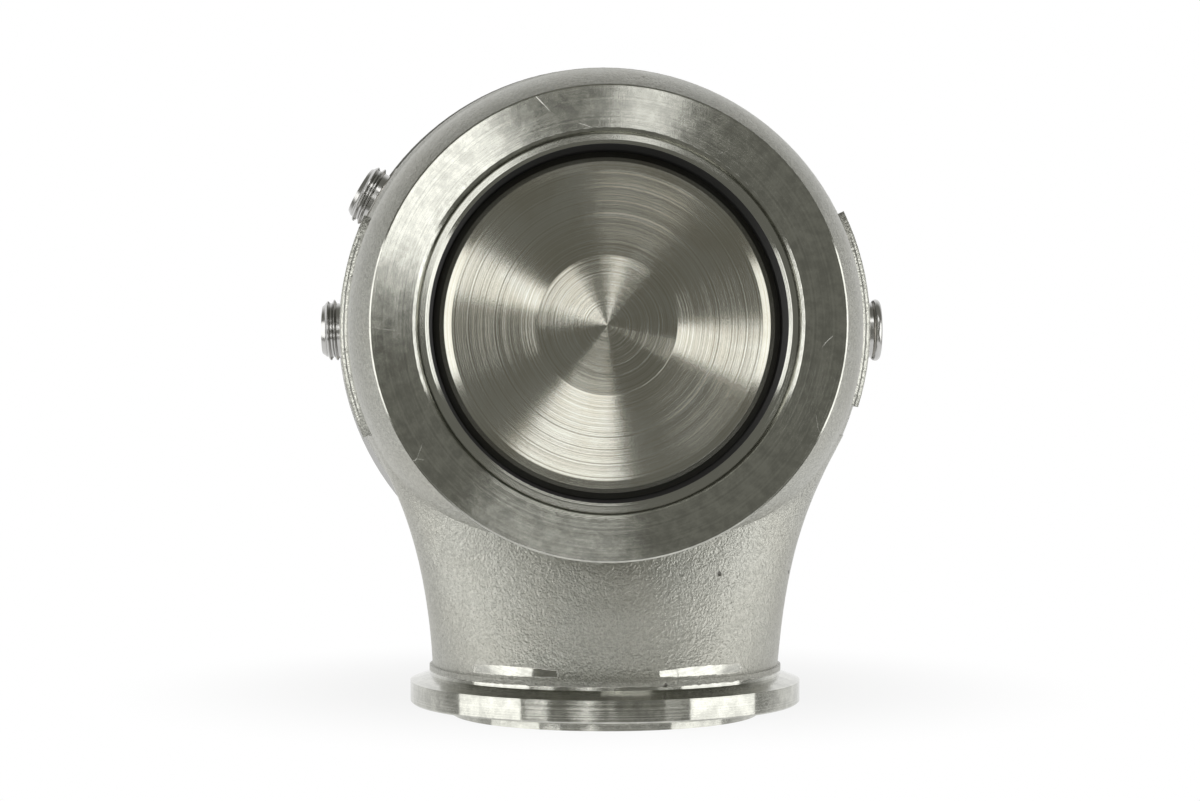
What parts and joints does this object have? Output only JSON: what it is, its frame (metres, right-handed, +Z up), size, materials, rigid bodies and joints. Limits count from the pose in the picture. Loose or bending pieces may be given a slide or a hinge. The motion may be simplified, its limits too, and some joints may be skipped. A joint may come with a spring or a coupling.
{
  "type": "turbo wastegate",
  "caption": "External turbo wastegate with V-band inlet and side outlet, seat ring, tulip valve, and a spring and diaphragm actuator with air and coolant ports.",
  "frame": {"origin": "centre of the outlet's lowest face, on the outlet's axis", "axes": "+Z up along the outlet's axis; +Y along the valve's axis from the inlet face to the actuator, the way the valve opens; +X to the right seen from the inlet"},
  "size_m": [0.1104, 0.1395, 0.1258],
  "materials": {
    "cast_stainless": "bead-blasted investment casting",
    "turned_stainless": "fine turned",
    "valve_steel": "turned face",
    "guide_bronze": "satin",
    "insulator": "pressed fibre sheet",
    "machined_aluminium": "turned, clear anodised",
    "seal_plastic": "satin",
    "spring_steel": "satin",
    "fastener_steel": "dark satin",
    "diaphragm_rubber": "matte",
    "port_steel": "satin",
    "copper_seal": "satin"
  },
  "bodies": {
    "housing": {"valve_housing": "cast_stainless", "valve_seat_ring": "turned_stainless", "valve_guide": "guide_bronze", "heat_gasket": "insulator", "actuator_base": "machined_aluminium", "stem_bushing": "guide_bronze", "stem_seal": "seal_plastic", "seal_snap_ring": "spring_steel", "clocking_pin": "spring_steel", "base_screw_washers": "fastener_steel", "base_screws": "fastener_steel", "diaphragm": "diaphragm_rubber", "outer_spring": "spring_steel", "inner_spring": "spring_steel", "actuator_cap": "machined_aluminium", "cap_screws": "fastener_steel", "left_port_nipple": "port_steel", "upper_port_nipple": "port_steel", "right_port_fitting": "port_steel", "left_port_seal": "copper_seal", "upper_port_seal": "copper_seal", "right_port_seal": "copper_seal", "cap_port_seal": "copper_seal", "cap_port_fitting": "port_steel"},
    "valve_train": {"valve": "valve_steel", "piston_cup": "machined_aluminium", "spring_plate": "machined_aluminium", "stem_washer": "fastener_steel", "stem_nut": "fastener_steel"}
  },
  "joints": [
    {"name": "valve_lift", "type": "slide", "parent": "housing", "child": "valve_train", "axis": [0, 1, 0], "range_m": [0, 0.012], "stiffness_N_per_m": 10000, "springref_m": -0.03, "deforming": ["outer_spring", "inner_spring", "diaphragm"]}
  ]
}
